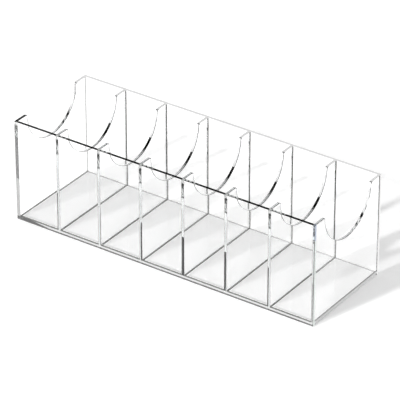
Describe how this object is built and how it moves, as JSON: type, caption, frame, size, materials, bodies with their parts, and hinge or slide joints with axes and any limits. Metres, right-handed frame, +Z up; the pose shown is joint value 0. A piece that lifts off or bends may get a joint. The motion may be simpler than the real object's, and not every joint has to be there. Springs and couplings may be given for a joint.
{
  "type": "belt storage box",
  "caption": "Clear acrylic open-top belt storage box with a row of equal compartments, whose cross panels have wide half-round finger scoops.",
  "frame": {"origin": "on the underside, below the middle of the box", "axes": "+X along the row of compartments to the right, +Y from the front wall to the back wall, +Z up"},
  "size_m": [0.36, 0.12, 0.114],
  "materials": {
    "clear_acrylic": "clear cast acrylic sheet, polished faces and flame-polished edges"
  },
  "bodies": {
    "root": {"base_panel": "clear_acrylic", "front_wall": "clear_acrylic", "back_wall": "clear_acrylic", "left_end_wall": "clear_acrylic", "right_end_wall": "clear_acrylic", "divider_1": "clear_acrylic", "divider_2": "clear_acrylic", "divider_3": "clear_acrylic", "divider_4": "clear_acrylic", "divider_5": "clear_acrylic", "divider_6": "clear_acrylic"}
  },
  "joints": []
}
